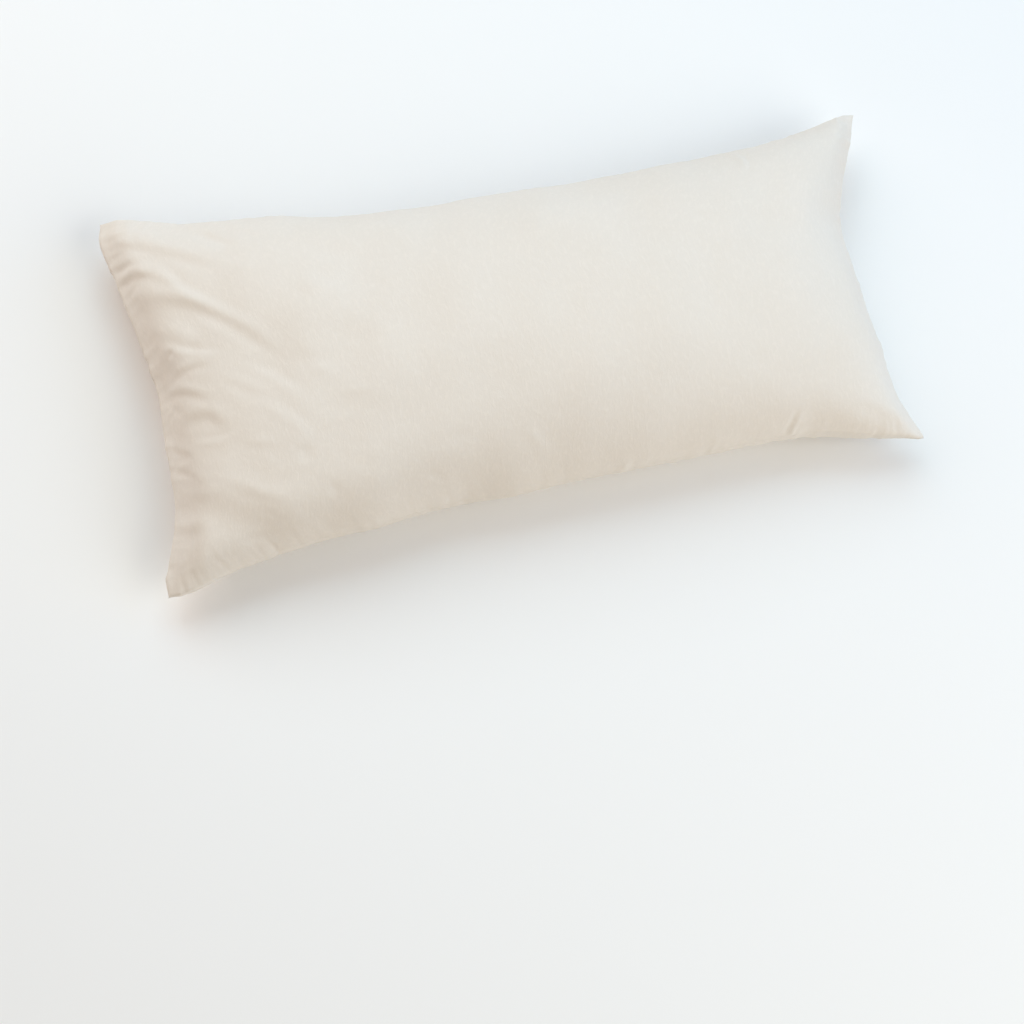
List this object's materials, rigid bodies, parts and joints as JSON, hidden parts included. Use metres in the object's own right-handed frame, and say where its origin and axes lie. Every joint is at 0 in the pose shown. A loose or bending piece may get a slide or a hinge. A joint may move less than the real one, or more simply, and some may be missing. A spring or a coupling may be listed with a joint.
{
  "type": "filled pillowcase",
  "caption": "Long plump pillow in a plain brushed-cotton case, with knife-edge seams, drawn-in sides and an ear at each corner.",
  "frame": {"origin": "centre of the plan's bounding box, at the height of the flat patch the pillow rests on", "axes": "+X along the case, +Y across it towards the long side that is uppermost in the picture, +Z out of the face"},
  "size_m": [0.802, 0.386, 0.14],
  "materials": {
    "cotton": "matt brushed cotton, natural off-white"
  },
  "bodies": {
    "root": {"pillowcase": "cotton"}
  },
  "joints": []
}
